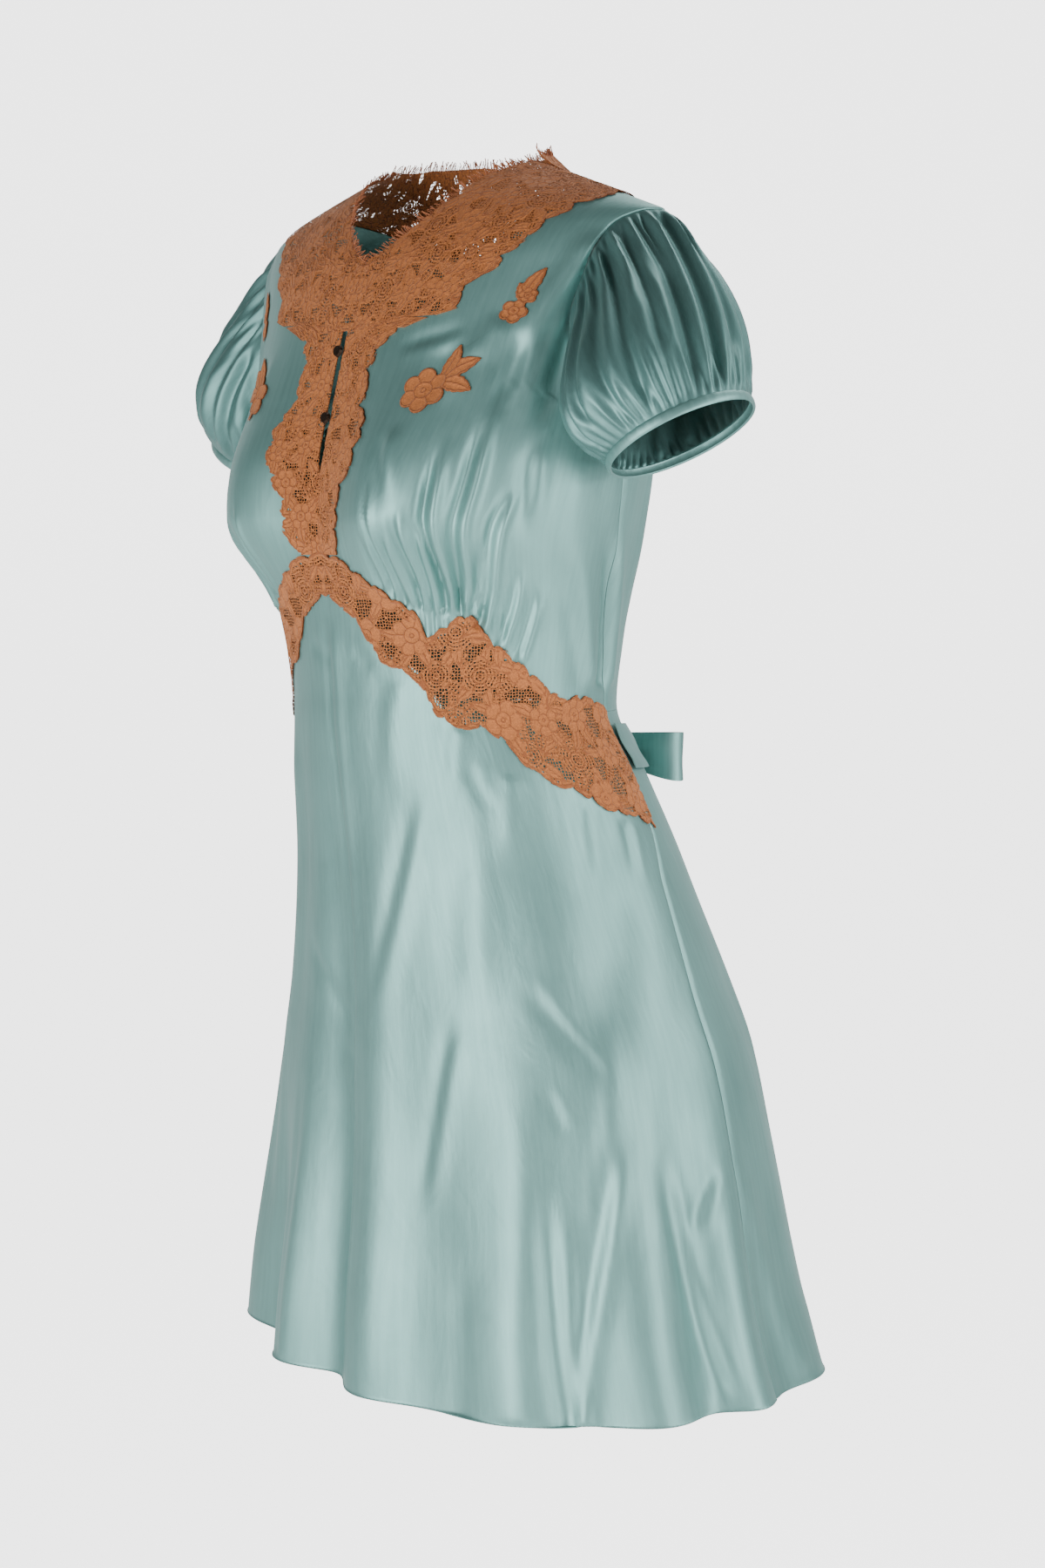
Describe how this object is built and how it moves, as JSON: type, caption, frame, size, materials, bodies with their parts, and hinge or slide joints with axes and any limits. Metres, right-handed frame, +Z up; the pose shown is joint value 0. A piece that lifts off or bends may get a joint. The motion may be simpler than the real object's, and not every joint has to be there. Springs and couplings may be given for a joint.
{
  "type": "mini dress",
  "caption": "Short satin dress with puff sleeves, a lace neckline and centre column with a keyhole, a lace waist band, and a tie at the back.",
  "frame": {"origin": "middle of the shoulder line, where the wearer's shoulders hold the dress up", "axes": "+Z up along the body, -Y out of the front, +X towards the wearer's left"},
  "size_m": [0.5494, 0.3644, 0.8344],
  "materials": {
    "satin": "glossy satin weave",
    "lace": "matt corded lace",
    "hook": "dark, slightly worn"
  },
  "bodies": {
    "root": {"bodice_front_left": "satin", "bodice_front_right": "satin", "bodice_back": "satin", "skirt_front": "satin", "skirt_back": "satin", "sleeve_left": "satin", "sleeve_right": "satin", "cuff_left": "satin", "cuff_right": "satin", "neck_lace_left": "lace", "neck_lace_right": "lace", "neck_lace_back": "lace", "centre_lace": "lace", "waist_lace_left": "lace", "waist_lace_right": "lace", "applique_flower_left": "lace", "applique_flower_right": "lace", "applique_slim_left": "lace", "applique_slim_right": "lace", "closure_upper": "hook", "closure_lower": "hook", "tie_left": "satin", "tie_right": "satin", "bow_knot": "satin", "bow_loop_left": "satin", "bow_loop_right": "satin", "bow_tail_left": "satin", "bow_tail_right": "satin"}
  },
  "joints": []
}
